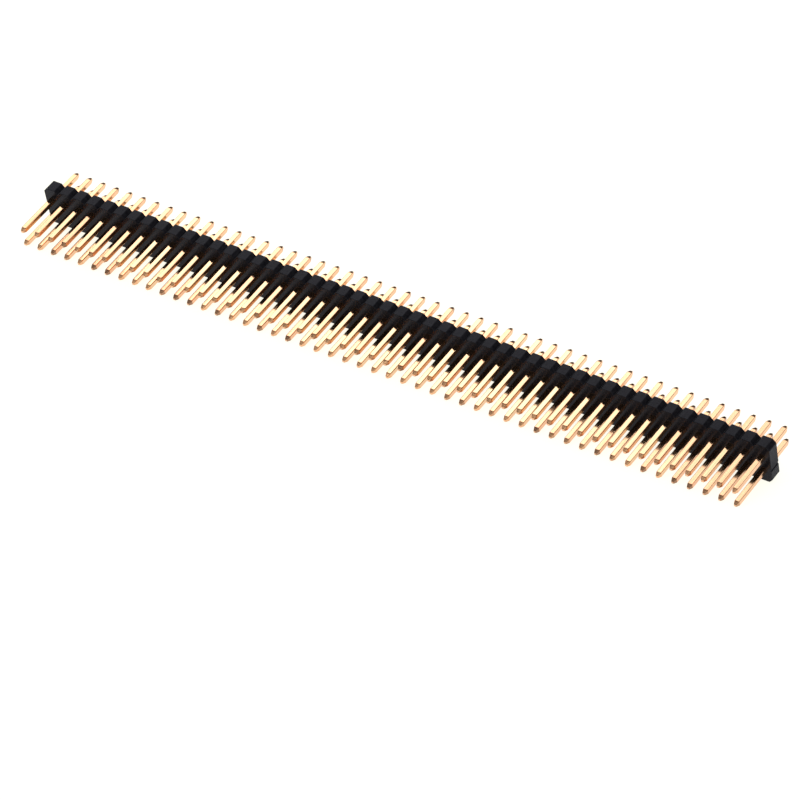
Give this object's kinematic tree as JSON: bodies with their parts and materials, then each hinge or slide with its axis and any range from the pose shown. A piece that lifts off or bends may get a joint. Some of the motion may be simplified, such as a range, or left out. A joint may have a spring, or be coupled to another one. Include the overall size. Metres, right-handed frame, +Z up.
{
  "type": "pin header strip",
  "caption": "Double-row straight pin header strip: gold-plated square pins held through a thin black housing with V notches between positions.",
  "frame": {"origin": "under the middle of the part's box, on the surface the strip lies on", "axes": "+X along the strip towards the end with the cut crease, -Y the way the long mating pins point, +Z up; the strip leans 13.5 degrees about X, on the housing's lower edge and the lower row's long pins"},
  "size_m": [0.0634, 0.0074, 0.0035],
  "materials": {
    "housing": "moulded black plastic, fine matt, glossier on the two faces the pins go through",
    "pins": "bright gold plating over brass wire, fine drawing lines along the pins"
  },
  "bodies": {
    "root": {"housing": "housing", "pin_pair_01": "pins", "pin_pair_02": "pins", "pin_pair_03": "pins", "pin_pair_04": "pins", "pin_pair_05": "pins", "pin_pair_06": "pins", "pin_pair_07": "pins", "pin_pair_08": "pins", "pin_pair_09": "pins", "pin_pair_10": "pins", "pin_pair_11": "pins", "pin_pair_12": "pins", "pin_pair_13": "pins", "pin_pair_14": "pins", "pin_pair_15": "pins", "pin_pair_16": "pins", "pin_pair_17": "pins", "pin_pair_18": "pins", "pin_pair_19": "pins", "pin_pair_20": "pins", "pin_pair_21": "pins", "pin_pair_22": "pins", "pin_pair_23": "pins", "pin_pair_24": "pins", "pin_pair_25": "pins", "pin_pair_26": "pins", "pin_pair_27": "pins", "pin_pair_28": "pins", "pin_pair_29": "pins", "pin_pair_30": "pins", "pin_pair_31": "pins", "pin_pair_32": "pins", "pin_pair_33": "pins", "pin_pair_34": "pins", "pin_pair_35": "pins", "pin_pair_36": "pins", "pin_pair_37": "pins", "pin_pair_38": "pins", "pin_pair_39": "pins", "pin_pair_40": "pins", "pin_pair_41": "pins", "pin_pair_42": "pins", "pin_pair_43": "pins", "pin_pair_44": "pins", "pin_pair_45": "pins", "pin_pair_46": "pins", "pin_pair_47": "pins", "pin_pair_48": "pins", "pin_pair_49": "pins", "pin_pair_50": "pins"}
  },
  "joints": []
}
